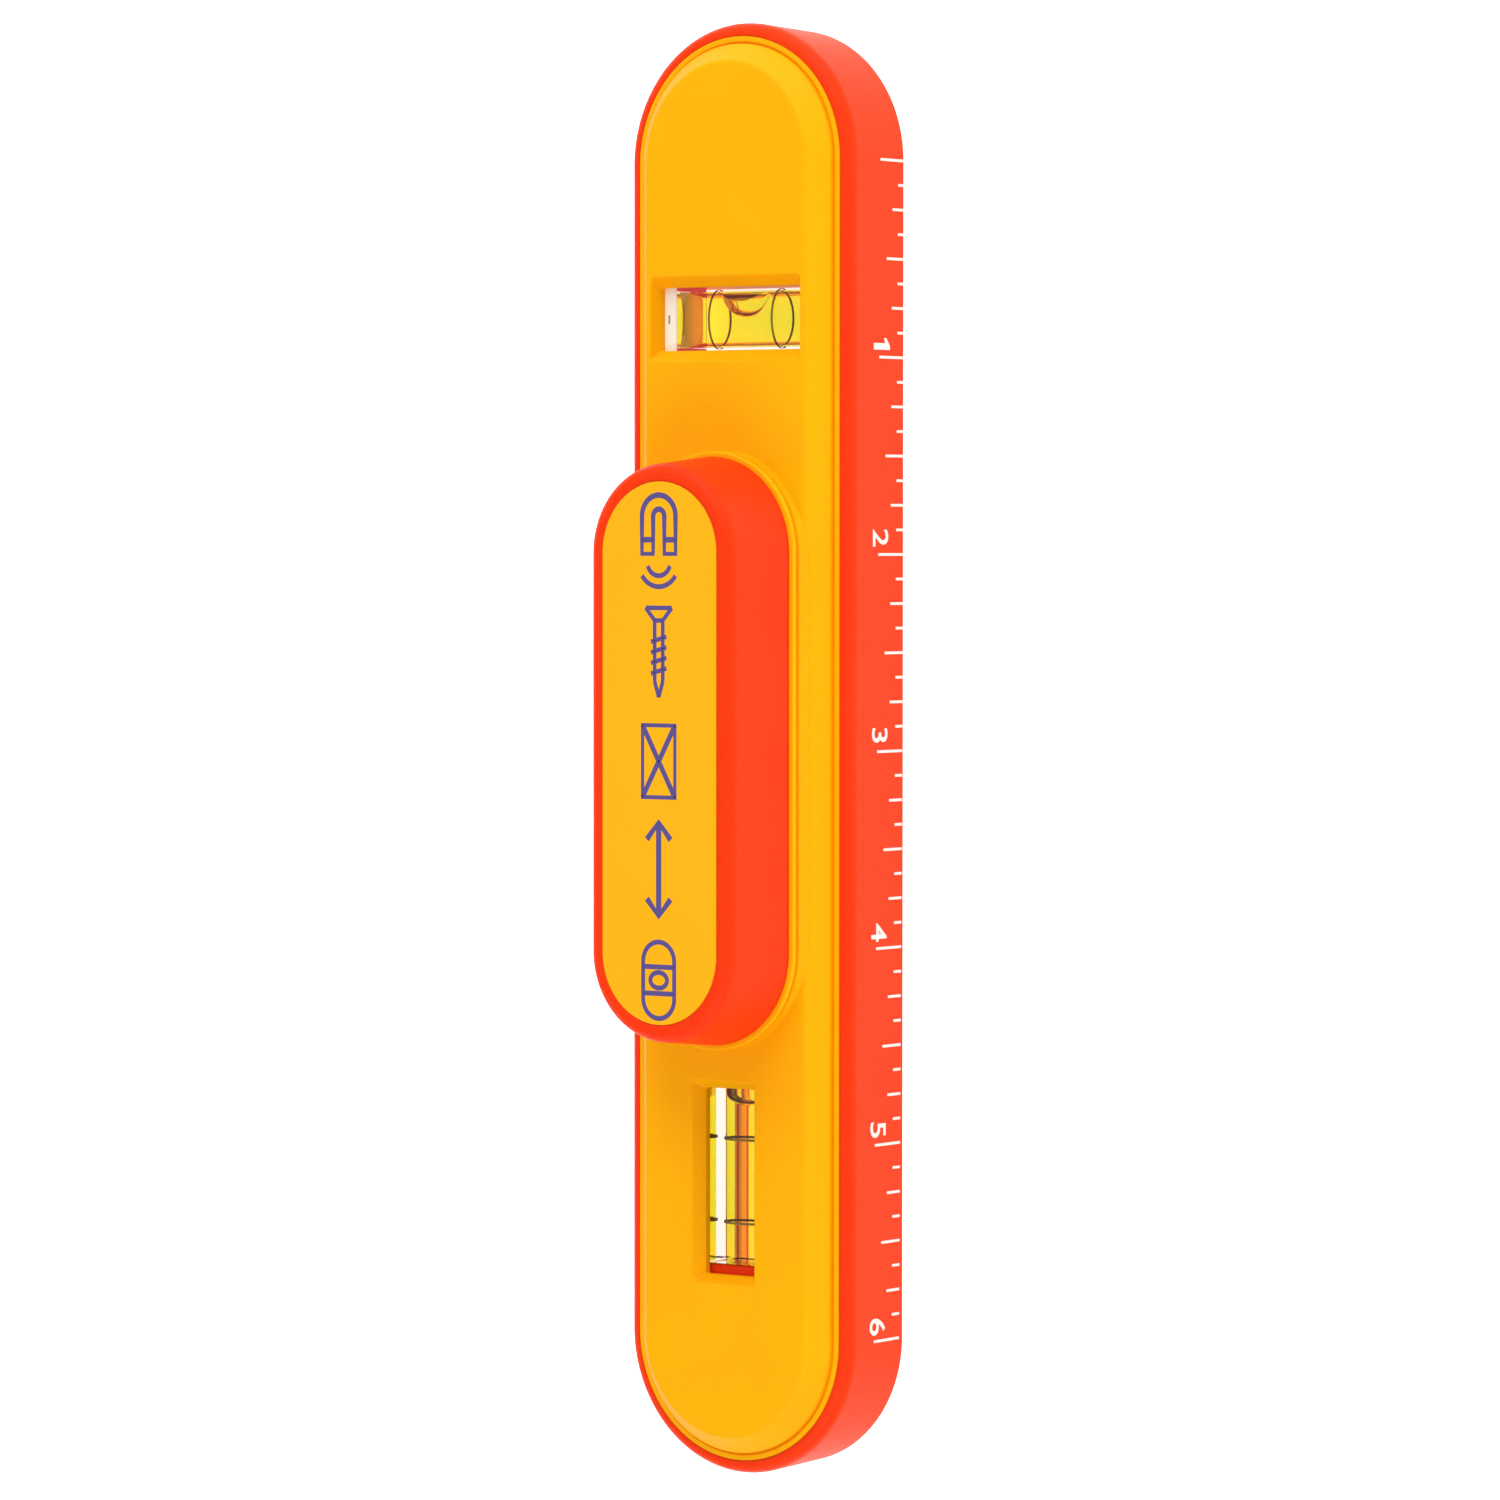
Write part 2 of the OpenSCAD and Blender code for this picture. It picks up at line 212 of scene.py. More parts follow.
def noise(tree, scale, detail):
    """Noise in the object's own metres, so that scale is features per metre."""
    place = tree.nodes.new("ShaderNodeTexCoord")
    found = tree.nodes.new("ShaderNodeTexNoise")
    found.inputs["Scale"].default_value = scale
    found.inputs["Detail"].default_value = detail
    found.inputs["Roughness"].default_value = 0.55
    tree.links.new(place.outputs["Object"], found.inputs["Vector"])
    return found


def spread(tree, source, low, high):
    """Maps the middle of a noise output to a range."""
    found = tree.nodes.new("ShaderNodeMapRange")
    found.inputs["From Min"].default_value = 0.3
    found.inputs["From Max"].default_value = 0.7
    found.inputs["To Min"].default_value = low
    found.inputs["To Max"].default_value = high
    tree.links.new(source, found.inputs["Value"])
    return found.outputs["Result"]


def plastic(name, colour, deeper, rough, grain, bump, soak=0.0):
    """Moulded plastic: fine spark-eroded grain, faint flow marks in colour and gloss."""
    material, tree, shader = new_material(name)
    flow = noise(tree, 60.0, 4.0)
    mix = tree.nodes.new("ShaderNodeMix")
    mix.data_type = "RGBA"
    mix.inputs["A"].default_value = (*colour, 1.0)
    mix.inputs["B"].default_value = (*deeper, 1.0)
    tree.links.new(spread(tree, flow.outputs["Fac"], 0.0, 1.0), mix.inputs["Factor"])
    tree.links.new(mix.outputs["Result"], shader.inputs["Base Color"])
    patch = noise(tree, 900.0, 2.0)
    gloss = spread(tree, patch.outputs["Fac"], rough - 0.04, rough + 0.05)
    tree.links.new(gloss, shader.inputs["Roughness"])
    skin = noise(tree, grain, 2.0)
    relief = tree.nodes.new("ShaderNodeBump")
    relief.inputs["Strength"].default_value = bump
    relief.inputs["Distance"].default_value = 0.04 * MM
    tree.links.new(skin.outputs["Fac"], relief.inputs["Height"])
    tree.links.new(relief.outputs["Normal"], shader.inputs["Normal"])
    shader.inputs["IOR"].default_value = 1.49
    shader.inputs["Specular IOR Level"].default_value = 0.07
    if soak > 0.0:
        shader.inputs["Subsurface Weight"].default_value = soak
        shader.inputs["Subsurface Radius"].default_value = (1.0, 0.35, 0.12)
        shader.inputs["Subsurface Scale"].default_value = 3.0 * MM
    return material


def ink(name, colour, rough=0.5):
    """Printed ink, very slightly speckled."""
    material, tree, shader = new_material(name)
    speck = noise(tree, 5000.0, 2.0)
    mix = tree.nodes.new("ShaderNodeMix")
    mix.data_type = "RGBA"
    mix.inputs["A"].default_value = (*colour, 1.0)
    mix.inputs["B"].default_value = (*[c * 0.93 for c in colour], 1.0)
    tree.links.new(spread(tree, speck.outputs["Fac"], 0.0, 1.0), mix.inputs["Factor"])
    tree.links.new(mix.outputs["Result"], shader.inputs["Base Color"])
    gloss = spread(tree, speck.outputs["Fac"], rough - 0.05, rough + 0.05)
    tree.links.new(gloss, shader.inputs["Roughness"])
    return material


def metal(name, colour, rough):
    """Plated or plain steel with an uneven gloss."""
    material, tree, shader = new_material(name)
    brush = noise(tree, 3000.0, 3.0)
    shader.inputs["Base Color"].default_value = (*colour, 1.0)
    shader.inputs["Metallic"].default_value = 1.0
    gloss = spread(tree, brush.outputs["Fac"], rough - 0.06, rough + 0.08)
    tree.links.new(gloss, shader.inputs["Roughness"])
    return material


def lit(material, colour, strength):
    """Makes a thin part glow a little, which stands for light that soaks through it."""
    shader = material.node_tree.nodes["Principled BSDF"]
    shader.inputs["Emission Color"].default_value = (*colour, 1.0)
    shader.inputs["Emission Strength"].default_value = strength


def seal_rubber(name, upper, upper_z, lower, lower_z):
    """Glowing rubber, brighter towards its foot, which stands for light from the opening behind it."""
    material, tree, shader = new_material(name)
    place = tree.nodes.new("ShaderNodeTexCoord")
    split = tree.nodes.new("ShaderNodeSeparateXYZ")
    height = tree.nodes.new("ShaderNodeMapRange")
    height.inputs["From Min"].default_value = lower_z * MM
    height.inputs["From Max"].default_value = upper_z * MM
    mix = tree.nodes.new("ShaderNodeMix")
    mix.data_type = "RGBA"
    mix.inputs["A"].default_value = (*lower, 1.0)
    mix.inputs["B"].default_value = (*upper, 1.0)
    tree.links.new(place.outputs["Object"], split.inputs["Vector"])
    tree.links.new(split.outputs["Z"], height.inputs["Value"])
    tree.links.new(height.outputs["Result"], mix.inputs["Factor"])
    tree.links.new(mix.outputs["Result"], shader.inputs["Base Color"])
    tree.links.new(mix.outputs["Result"], shader.inputs["Emission Color"])
    shader.inputs["Roughness"].default_value = 0.5
    shader.inputs["Emission Strength"].default_value = 0.65
    return material


def clear(name, colour, ior, rough):
    """A clear medium. ior is relative to what surrounds it, and is set for nested pieces."""
    material = bpy.data.materials.new(name)
    material.use_nodes = True
    tree = material.node_tree
    tree.nodes.remove(tree.nodes["Principled BSDF"])
    glass = tree.nodes.new("ShaderNodeBsdfGlass")
    glass.inputs["Color"].default_value = (*colour, 1.0)
    glass.inputs["Roughness"].default_value = rough
    glass.inputs["IOR"].default_value = ior
    tree.links.new(glass.outputs["BSDF"], tree.nodes["Material Output"].inputs["Surface"])
    return material


# heights of the crosswise vial's seal: its hollow top, and where its foot is brightest
SEAL_TOP_Z = 10.2
SEAL_FOOT_Z = 6.5

RED = plastic("red_plastic", (0.98, 0.044, 0.004), (0.95, 0.040, 0.003), 0.42, 9000.0, 0.25, 0.5)
YELLOW = plastic("yellow_plastic", (1.0, 0.44, 0.001), (0.97, 0.42, 0.001), 0.46, 9000.0, 0.45, 0.15)
LABEL = plastic("label", (1.0, 0.445, 0.008), (0.99, 0.43, 0.007), 0.4, 14000.0, 0.1)
WHITE = plastic("white_plastic", (0.9, 0.88, 0.8), (0.86, 0.83, 0.74), 0.35, 8000.0, 0.1)
BLACK = plastic("black_plastic", (0.02, 0.02, 0.022), (0.03, 0.03, 0.03), 0.5, 8000.0, 0.3)
WHITE_INK = ink("white_ink", (0.92, 0.76, 0.70))
BLUE_INK = ink("blue_ink", (0.085, 0.062, 0.24))
PAD = plastic("red_pad", (0.95, 0.06, 0.04), (0.9, 0.05, 0.035), 0.5, 9000.0, 0.2)
GASKET = plastic("pink_gasket", (1.0, 0.42, 0.2), (0.95, 0.38, 0.18), 0.5, 9000.0, 0.2)
# painted shade and light on the seal: dark brown at its top, bright orange and glowing towards its foot
SEAL = seal_rubber("orange_seal", (0.45, 0.22, 0.03), SEAL_TOP_Z, (1.0, 0.30, 0.05), SEAL_FOOT_Z)
# painted light: the pads and gaskets glow a little, standing for light that soaks through them
lit(PAD, (1.0, 0.05, 0.05), 0.4)
lit(GASKET, (1.0, 0.36, 0.2), 0.48)
# dark ink for the marking rings, also used as painted shade in the cap slots
DARK_INK_AND_SLOT_SHADE = ink("black_ink", (0.42, 0.30, 0.01), 0.9)
NICKEL = metal("nickel", (0.72, 0.72, 0.73), 0.18)
STEEL = metal("screw_steel", (0.62, 0.62, 0.64), 0.32)
ACRYLIC = clear("acrylic", (1.0, 1.0, 1.0), 1.49, 0.05)
LIQUID = clear("liquid", (0.89, 0.845, 0.14), 0.965, 0.1)
BUBBLE = clear("bubble", (1.0, 1.0, 1.0), 0.85, 0.15)


# ---------------------------------------------------------------- sizes in mm, from the frame

def size_mm(node):
    """The lowest and the highest corner of a CAD node."""
    low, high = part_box(node)
    return low * 1000.0, high * 1000.0


tray_high = size_mm("base_tray")[1]
cover_high = size_mm("front_cover")[1]
grip_high = size_mm("handle_shell")[1]
label_high = size_mm("handle_label")[1]
cross_low, cross_high = size_mm("cross_vial_body")
long_low, long_high = size_mm("long_vial_body")

# tray: its side leans in by DRAFT at the foot, and a ledge inside its rim carries the cover
DRAFT = 0.4
TRAY_R = tray_high.x
TRAY_FOOT_R = TRAY_R - DRAFT
BODY_HALF = tray_high.y - TRAY_R
TRAY_H = 12.4
TRAY_ROUND = 1.65
LEDGE_Z = 11.2
CAVITY_R = 15.0
FLOOR_T = cross_low.z
ROOT_Z = FLOOR_T - 0.5      # where ribs and posts start, inside the floor
RIB_TOP = 8.0

# cover: a step at its edge, a bevel up to the flat face, and the collar below the handle
COVER_R = cover_high.x
STEP_R = COVER_R - 1.0
RIM_R = 13.6
FLAT_R = 12.6
FLAT_Z = 15.4
UNDER_Z = 13.0
COLLAR_R = 13.05

# handle
GRIP_FOOT_R = grip_high.x
GRIP_FOOT_Z = 18.0
GRIP_HALF = grip_high.y - GRIP_FOOT_R
GRIP_TOP_R = 11.5
GRIP_ROUND = 1.7
LABEL_R = label_high.x

# level vials, and the openings in the back behind them
CROSS_Y = (cross_low.y + cross_high.y) / 2
LONG_Y = -56.0
AXIS_Z = (cross_low.z + cross_high.z) / 2
VIAL_HALF = 4.75
CROSS_HALF = 11.0           # its end face lies in one plane with the cap's, so this stays as it is
BORE_R = 3.65
CAP_T = 2.35
END_WALL = 0.5
STOP_Z = 12.6
CROSS_OPENING = (11.5, 4.1)
LONG_OPENING = (4.1, 12.15)
RING_HALF = 0.16
CROSS_RING_X = 5.08
LONG_RING_Y = -56.12
LONG_RING_STEP = 5.45

# screws and magnets
COVER_SCREWS = ((0.0, 82.0), (0.0, -82.0), (11.6, 0.0), (-11.6, 0.0))
HANDLE_SCREW_Y = 18.0
RETAINER_SCREW_Y = 30.0
CLEARANCE_R = 1.45
PILOT_R = 1.3
POST_R = 3.2
COVER_POST_R = 3.0
MAGNET_Y = 15.0
POCKET_R = 9.575
POCKET_WALL_R = 10.775

# ruler: its marks come a little nearer the front with every inch
INCH = 25.4
RULER_DRIFT = 0.13
DIGIT_SIZE = 5.0
DIGIT_FOOT_Z = 7.1


# ---------------------------------------------------------------- tray, cover and handle

def window_tool(open_half, edge_half, centre):
    """The cutter for a window in the cover: straight wall, then a chamfer with soft edges."""
    open_x, open_y = open_half
    edge_x, edge_y = edge_half
    start = UNDER_Z + 0.9
    steps = [(0.0, UNDER_Z - 1.0), (0.0, start - 0.12), (0.04, start), (0.12, start + 0.1)]
    steps += [(0.5, (start + FLAT_Z) / 2), (0.86, FLAT_Z - 0.16), (0.94, FLAT_Z - 0.07)]
    steps += [(1.02, FLAT_Z - 0.015), (1.12, FLAT_Z + 0.02), (1.3, FLAT_Z + 1.0)]
    rings = []
    for t, z in steps:
        half_x = open_x + (edge_x - open_x) * t
        half_y = open_y + (edge_y - open_y) * t
        rings.append(box_points(half_x, half_y, z, 0.25 + 0.25 * min(t, 1.0), centre))
    return temp_object(loft(rings))


def opening_tool(half_x, half_y, centre):
    """The cutter for an opening in the back, its inner edges broken under the vial."""
    steps = [(0.15, -1.0), (0.15, 0.0), (0.0, 0.15), (0.0, FLOOR_T - 0.75)]
    steps += [(0.5, FLOOR_T + 0.02), (0.5, 3.0)]
    rings = []
    for grow, z in steps:
        rings.append(box_points(half_x + grow, half_y + grow, z, 0.3, centre))
    return temp_object(loft(rings))


def vial_cradles():
    """A low wall round the place of each vial and its cap."""
    cross_mid = (cross_low.x - CAP_T + cross_high.x) / 2
    cross_half = (cross_high.x - cross_low.x + CAP_T) / 2
    long_mid = (long_low.y + long_high.y + CAP_T) / 2
    long_half = (long_high.y - long_low.y + CAP_T) / 2
    places = (
        ((cross_mid, CROSS_Y), cross_half, VIAL_HALF),
        ((0.0, long_mid), VIAL_HALF, long_half),
    )
    made = []
    for centre, half_x, half_y in places:
        cradle = block(half_x + 1.35, half_y + 1.35, ROOT_Z, RIB_TOP, centre)
        combine(cradle, [block(half_x + 0.15, half_y + 0.15, 0.0, RIB_TOP + 1.0, centre, 0.1)])
        made.append(cradle)
    return made


def make_tray():
    """The red base: side and rim, cradles, posts, magnet pockets and the openings in its back."""
    profile = [(TRAY_FOOT_R - 0.35, 0.0)]
    profile += arc(TRAY_FOOT_R - 0.3, 0.3, 0.3, -80, 0, 5)
    profile += arc(TRAY_R - TRAY_ROUND, TRAY_H - TRAY_ROUND, TRAY_ROUND, 0, 90, 12)
    profile += [(COVER_R + 0.12, TRAY_H), (COVER_R + 0.05, TRAY_H - 0.07), (COVER_R + 0.05, LEDGE_Z)]
    profile += [(CAVITY_R, LEDGE_Z), (CAVITY_R, FLOOR_T)]
    tray = temp_object(oblong(profile, BODY_HALF), "tray")
    joined = vial_cradles()
    # the stop below the lengthwise vial
    joined.append(block(VIAL_HALF, 0.8, ROOT_Z, STOP_Z, (0.0, long_low.y - 0.95), 0.2))
    for place in COVER_SCREWS:
        joined.append(rod(POST_R, ROOT_Z, RIB_TOP, place))
    for side in (1, -1):
        joined.append(rod(POST_R, ROOT_Z, 7.55, (0.0, side * RETAINER_SCREW_Y)))
        joined.append(rod(POCKET_WALL_R, ROOT_Z, 6.55, (0.0, side * MAGNET_Y), 96))
    combine(tray, joined, "UNION")
    cut = [
        opening_tool(*CROSS_OPENING, (0.0, CROSS_Y)),
        opening_tool(*LONG_OPENING, (0.0, LONG_Y)),
    ]
    for place in COVER_SCREWS:
        cut.append(rod(CLEARANCE_R, -1.0, RIB_TOP + 1.0, place))
        cut.append(rod(CLEARANCE_R, -0.05, 1.3, place, 48, 1.0))
    for side in (1, -1):
        cut.append(rod(PILOT_R, 3.0, RIB_TOP + 1.0, (0.0, side * RETAINER_SCREW_Y)))
        cut.append(rod(POCKET_R, 1.2, RIB_TOP + 1.0, (0.0, side * MAGNET_Y), 96))
    combine(tray, cut)
    dress(tray, RED)
    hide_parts("base_tray")


def make_cover():
    """The yellow cover with its two windows, the collar for the handle and the screw posts."""
    # a flat lip level with the tray's rim, a fine groove, then the step up to the bevel
    outside = [(COVER_R, LEDGE_Z), (COVER_R, TRAY_H - 0.12)]
    outside += arc(COVER_R - 0.12, TRAY_H - 0.12, 0.12, 15, 90, 4)
    outside += [(STEP_R + 0.34, TRAY_H), (STEP_R + 0.26, TRAY_H - 0.08), (STEP_R + 0.2, TRAY_H - 0.3)]
    outside += [(STEP_R + 0.02, TRAY_H - 0.3), (STEP_R, TRAY_H - 0.1), (STEP_R - 0.02, TRAY_H + 0.42)]
    outside += [(STEP_R - 0.08, TRAY_H + 0.53), (STEP_R - 0.2, TRAY_H + 0.68)]
    outside += [(FLAT_R + 0.5, FLAT_Z - 0.3), (FLAT_R + 0.33, FLAT_Z - 0.15)]
    outside += [(FLAT_R + 0.1, FLAT_Z - 0.04), (FLAT_R - 0.3, FLAT_Z)]
    cover = temp_object(oblong([(RIM_R, UNDER_Z), (RIM_R, LEDGE_Z)] + outside, BODY_HALF), "cover")
    collar = [(COLLAR_R, UNDER_Z + 0.9), (COLLAR_R + 0.2, UNDER_Z + 1.0), (COLLAR_R + 0.2, FLAT_Z - 0.2)]
    collar += [(COLLAR_R + 0.08, FLAT_Z + 0.1), (COLLAR_R, FLAT_Z + 0.5)]
    # a fine shadow gap below the ledge that carries the handle
    collar += [(COLLAR_R, 16.7), (COLLAR_R - 0.45, 16.8), (COLLAR_R - 0.45, 17.35), (COLLAR_R, 17.45)]
    collar += arc(COLLAR_R - 0.25, GRIP_FOOT_Z - 0.25, 0.25, 0, 90, 5)
    collar += [(GRIP_FOOT_R - 0.1, GRIP_FOOT_Z)]
    combine(cover, [temp_object(oblong(collar, GRIP_HALF))], "UNION")
    hollow_r = GRIP_FOOT_R - 1.9
    hollow = temp_object(oblong([(hollow_r, UNDER_Z - 1.0), (hollow_r, 16.0)], GRIP_HALF, 48))
    combine(cover, [
        hollow,
        window_tool(CROSS_OPENING, (12.1, 5.55), (0.0, CROSS_Y)),
        window_tool((3.92, 12.15), (5.15, 13.25), (-0.18, LONG_Y)),
        rod(CLEARANCE_R, 15.0, 19.0, (0.0, HANDLE_SCREW_Y)),
        rod(CLEARANCE_R, 15.0, 19.0, (0.0, -HANDLE_SCREW_Y)),
    ])
    posts = []
    for place in COVER_SCREWS:
        post = rod(COVER_POST_R, RIB_TOP + 0.05, UNDER_Z + 0.5, place)
        combine(post, [rod(PILOT_R, RIB_TOP - 1.0, UNDER_Z - 0.4, place)])
        posts.append(post)
    combine(cover, posts, "UNION")
    dress(cover, YELLOW)
    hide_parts("front_cover")


def make_handle():
    """The red handle, hollow from below, and the label in its top."""
    top = grip_high.z
    profile = [(GRIP_FOOT_R - 0.1, GRIP_FOOT_Z), (GRIP_FOOT_R, GRIP_FOOT_Z + 0.1)]
    profile += arc(GRIP_TOP_R - GRIP_ROUND, top - GRIP_ROUND, GRIP_ROUND, 5, 88, 10)
    profile += [(LABEL_R + 0.2, top), (LABEL_R + 0.05, top - 0.12), (LABEL_R + 0.05, top - 0.5)]
    handle = temp_object(oblong(profile, GRIP_HALF), "handle")
    inner = oblong([(GRIP_FOOT_R - 1.8, 17.0), (GRIP_TOP_R - 1.8, top - 2.0)], GRIP_HALF, 48)
    hollow = temp_object(inner)
    places = [(0.0, side * HANDLE_SCREW_Y) for side in (1, -1)]
    combine(hollow, [rod(POST_R, GRIP_FOOT_Z, 29.0, place) for place in places])
    combine(handle, [hollow] + [rod(PILOT_R, 17.0, top - 3.0, place) for place in places])
    dress(handle, RED)
    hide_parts("handle_shell")

    # the label, let into the top
    skin = [(LABEL_R, top - 0.5), (LABEL_R, top - 0.1), (LABEL_R - 0.03, top - 0.03), (LABEL_R - 0.1, top)]
    label = temp_object(oblong(skin, GRIP_HALF), "label")
    dress(label, LABEL)
    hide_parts("handle_label")


make_tray()
make_cover()
make_handle()


# ---------------------------------------------------------------- vials

def axis_rod(name, r, start, end, along, centre, steps=96):
    """A cylinder along X or Y between two places."""
    rings = []
    for at in (start, end):
        ring = []
        for i in range(steps):
            a = math.tau * i / steps
            u = r * math.cos(a)
            w = r * math.sin(a)
            if along == "x":
                ring.append((at, centre[0] + u, centre[1] + w))
            else:
                ring.append((centre[0] + w, at, centre[1] + u))
        rings.append(ring)
    return temp_object(loft(rings), name)


def vial_block(name, half_x, half_y, z0, z1, centre):
    """A square-sided vial body or end cap, with its moulded edges just broken."""
    soft = 0.12
    rings = []
    for z, inset, corner in ((z0, soft, 0.2), (z0 + soft, 0.0, 0.3), (z1 - soft, 0.0, 0.3), (z1, soft, 0.2)):
        rings.append(box_points(half_x - inset, half_y - inset, z, corner, centre))
    return temp_object(loft(rings), name)


def mark_ring(name, at, along, centre):
    """A marking ring let into the clear wall round the bore."""
    outer = axis_rod(name, BORE_R + 0.23, at - RING_HALF, at + RING_HALF, along, centre)
    return combine(outer, [axis_rod("tool", BORE_R + 0.17, at - 1.0, at + 1.0, along, centre)])


def cap(name, node, along):
    """A vial's white end cap, with a slot in its top face that a dark block fills as painted shade."""
    low, high = size_mm(node)
    # the flange is all but the short spigot in the bore
    if along == "x":
        high.x = cross_low.x
        centre = ((low.x + high.x) / 2, CROSS_Y)
        half_x, half_y = (high.x - low.x) / 2, VIAL_HALF
        slot_x, slot_y = 0.18, 0.6
    else:
        low.y = long_high.y
        centre = (0.0, (low.y + high.y) / 2)
        half_x, half_y = VIAL_HALF, (high.y - low.y) / 2
        slot_x, slot_y = 0.6, 0.18
    piece = vial_block(name, half_x, half_y, low.z, high.z, centre)
    combine(piece, [block(slot_x, slot_y, high.z - 0.8, high.z + 1.0, centre, 0.17)])
    # painted shade: a dark block sits in the slot, a little below its rim
    mark = block(slot_x - 0.02, slot_y - 0.02, high.z - 0.7, high.z - 0.15, centre, 0.15)
    mark.name = name + "_mark"
    dress(mark, DARK_INK_AND_SLOT_SHADE)
    dress(piece, WHITE)
    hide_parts(node)


def make_seal():
    """The seal at the cap end of the crosswise vial: a thin plate with a hollow top, and side pads."""
    foot_z = cross_low.z + 1.9
    half_y = BORE_R - 0.05
    outline = [(half_y, foot_z), (-half_y, foot_z)]
    for i in range(21):
        t = i / 10 - 1.0
        outline.append((half_y * t, SEAL_TOP_Z + 1.1 * t ** 2))
    rings = []
    for x in (cross_low.x + 0.1, cross_low.x + 0.18):
        rings.append([(x, CROSS_Y + y, z) for y, z in outline])
    link("cross_seal", loft(rings), SEAL)
    pads = block(0.04, 4.6, cross_low.z + 0.3, cross_high.z - 0.4, (cross_low.x + 0.14, CROSS_Y), 0.03)
    combine(pads, [block(0.5, BORE_R + 0.03, 0.0, 20.0, (cross_low.x, CROSS_Y))])
    pads.name = "cross_seal_pads"
    dress(pads, PAD)


def make_gasket(name, half_x, half_y, centre):
    """The thin gasket that carries a vial round the opening in the back."""
    gasket = block(half_x + 0.58, half_y + 0.58, FLOOR_T - 1.3, FLOOR_T - 0.03, centre, 0.3)
    combine(gasket, [block(half_x - 0.03, half_y - 0.03, 0.0, 5.0, centre, 0.3)])
    gasket.name = name
    dress(gasket, GASKET)


def make_cross_vial():
    """The crosswise vial: clear body, liquid, end cap and two marking rings."""
    centre = (CROSS_Y, AXIS_Z)
    mid = (cross_low.x + cross_high.x) / 2
    body = vial_block("cross_body", CROSS_HALF, VIAL_HALF, cross_low.z, cross_high.z, (mid, CROSS_Y))
    dress(body, ACRYLIC, sharp=30.0)
    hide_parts("cross_vial_body")
    liquid = axis_rod("cross_liquid", BORE_R, cross_low.x + 0.02, cross_high.x - END_WALL, "x", centre)
    dress(liquid, LIQUID)
    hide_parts("cross_vial_liquid")
    cap("cross_cap", "cross_vial_cap", "x")
    for side, word in ((-1, "left"), (1, "right")):
        ring = mark_ring("cross_mark_" + word, side * CROSS_RING_X, "x", centre)
        dress(ring, DARK_INK_AND_SLOT_SHADE)
        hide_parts("cross_ring_" + word)


def make_long_vial():
    """The lengthwise vial: clear body, liquid, end cap and two marking rings."""
    centre = (0.0, AXIS_Z)
    mid = (long_low.y + long_high.y) / 2
    half = (long_high.y - long_low.y) / 2
    body = vial_block("long_body", VIAL_HALF, half, long_low.z, long_high.z, (0.0, mid))
    dress(body, ACRYLIC, sharp=30.0)
    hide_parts("long_vial_body")
    liquid = axis_rod("long_liquid", BORE_R, long_low.y + 0.1, long_high.y - 0.02, "y", centre)
    dress(liquid, LIQUID)
    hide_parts("long_vial_liquid")
    cap("long_cap", "long_vial_cap", "y")
    for side, word in ((1, "upper"), (-1, "lower")):
        ring = mark_ring("long_mark_" + word, LONG_RING_Y + side * LONG_RING_STEP, "y", centre)
        dress(ring, DARK_INK_AND_SLOT_SHADE)
        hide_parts("long_ring_" + word)


make_cross_vial()
make_seal()
make_gasket("cross_gasket", *CROSS_OPENING, (0.0, CROSS_Y))
make_long_vial()
make_gasket("long_gasket", *LONG_OPENING, (0.0, LONG_Y))


# ---------------------------------------------------------------- bubbles

def make_cross_bubble():
    """A flattened drop of air against the upper wall of the bore."""
    low, high = size_mm("cross_vial_bubble")
    mid_x = (low.x + high.x) / 2
    half = Vector(((high.x - low.x) / 2, high.y - low.y + 0.25, 3.1))
    wall = BORE_R - 0.05
    bm = bmesh.new()
    bmesh.ops.create_uvsphere(bm, u_segments=96, v_segments=64, radius=1.0)
    for v in bm.verts:
        x = mid_x + half.x * v.co.x
        y = CROSS_Y + wall + half.y * v.co.y
        z = AXIS_Z + half.z * v.co.z
        v.co = Vector((x, y, z)) * MM
    piece = temp_object(bm, "cross_bubble")
    bore = axis_rod("tool", wall, mid_x - 6.0, mid_x + 6.0, "x", (CROSS_Y, AXIS_Z), 128)
    combine(piece, [bore], "INTERSECT")
    dress(piece, BUBBLE, "cross_bubble", 50.0, False)
    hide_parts("cross_vial_bubble")


def make_long_bubble():
    """Air gathered at the top of the upright vial: a round pad with a domed underside."""
    low, high = size_mm("long_vial_bubble")
    r = BORE_R - 0.06
    profile = []
    steps = 16
    for i in range(steps + 1):
        t = i / steps
        profile.append((r * math.sin(t * math.pi / 2), low.y + 1.5 * (1.0 - math.cos(t * math.pi / 2))))
    profile += [(r, high.y - 0.3), (r - 0.1, high.y - 0.05), (r - 0.3, high.y), (0.0, high.y)]
    rings = []
    count = 96
    for radius, y in profile:
        ring = []
        for i in range(count):
            a = math.tau * i / count
            ring.append((radius * math.sin(a), y, AXIS_Z + radius * math.cos(a)))
        rings.append(ring)
    bm = loft(rings, close=False)
    piece = link("long_bubble", bm, BUBBLE, "long_bubble", 80.0, False)
    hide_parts("long_vial_bubble")


make_cross_bubble()
make_long_bubble()


# ---------------------------------------------------------------- hidden and small CAD nodes

for name, material in (
    ("ruler_marks", WHITE_INK),
    ("magnet_upper", NICKEL),
    ("magnet_lower", NICKEL),
    ("magnet_retainer", BLACK),
    ("cover_screws", STEEL),
    ("handle_screws", STEEL),
    ("retainer_screws", STEEL),
):
    node = nodes[name]
    node.data.materials.clear()
    node.data.materials.append(material)


# ---------------------------------------------------------------- numerals on the ruler

def flatten(obj, name, material, matrix):
    """Turns a text or curve into a mesh piece lying where the matrix puts it."""
    bpy.context.view_layer.update()
    graph = bpy.context.evaluated_depsgraph_get()
    mesh = bpy.data.meshes.new_from_object(obj.evaluated_get(graph))
    mesh.transform(matrix)
    old = obj.data
    bpy.data.objects.remove(obj)
    bpy.data.curves.remove(old)
    mesh.name = name
    dress(bpy.data.objects.new(name, mesh), material, weighted=False)


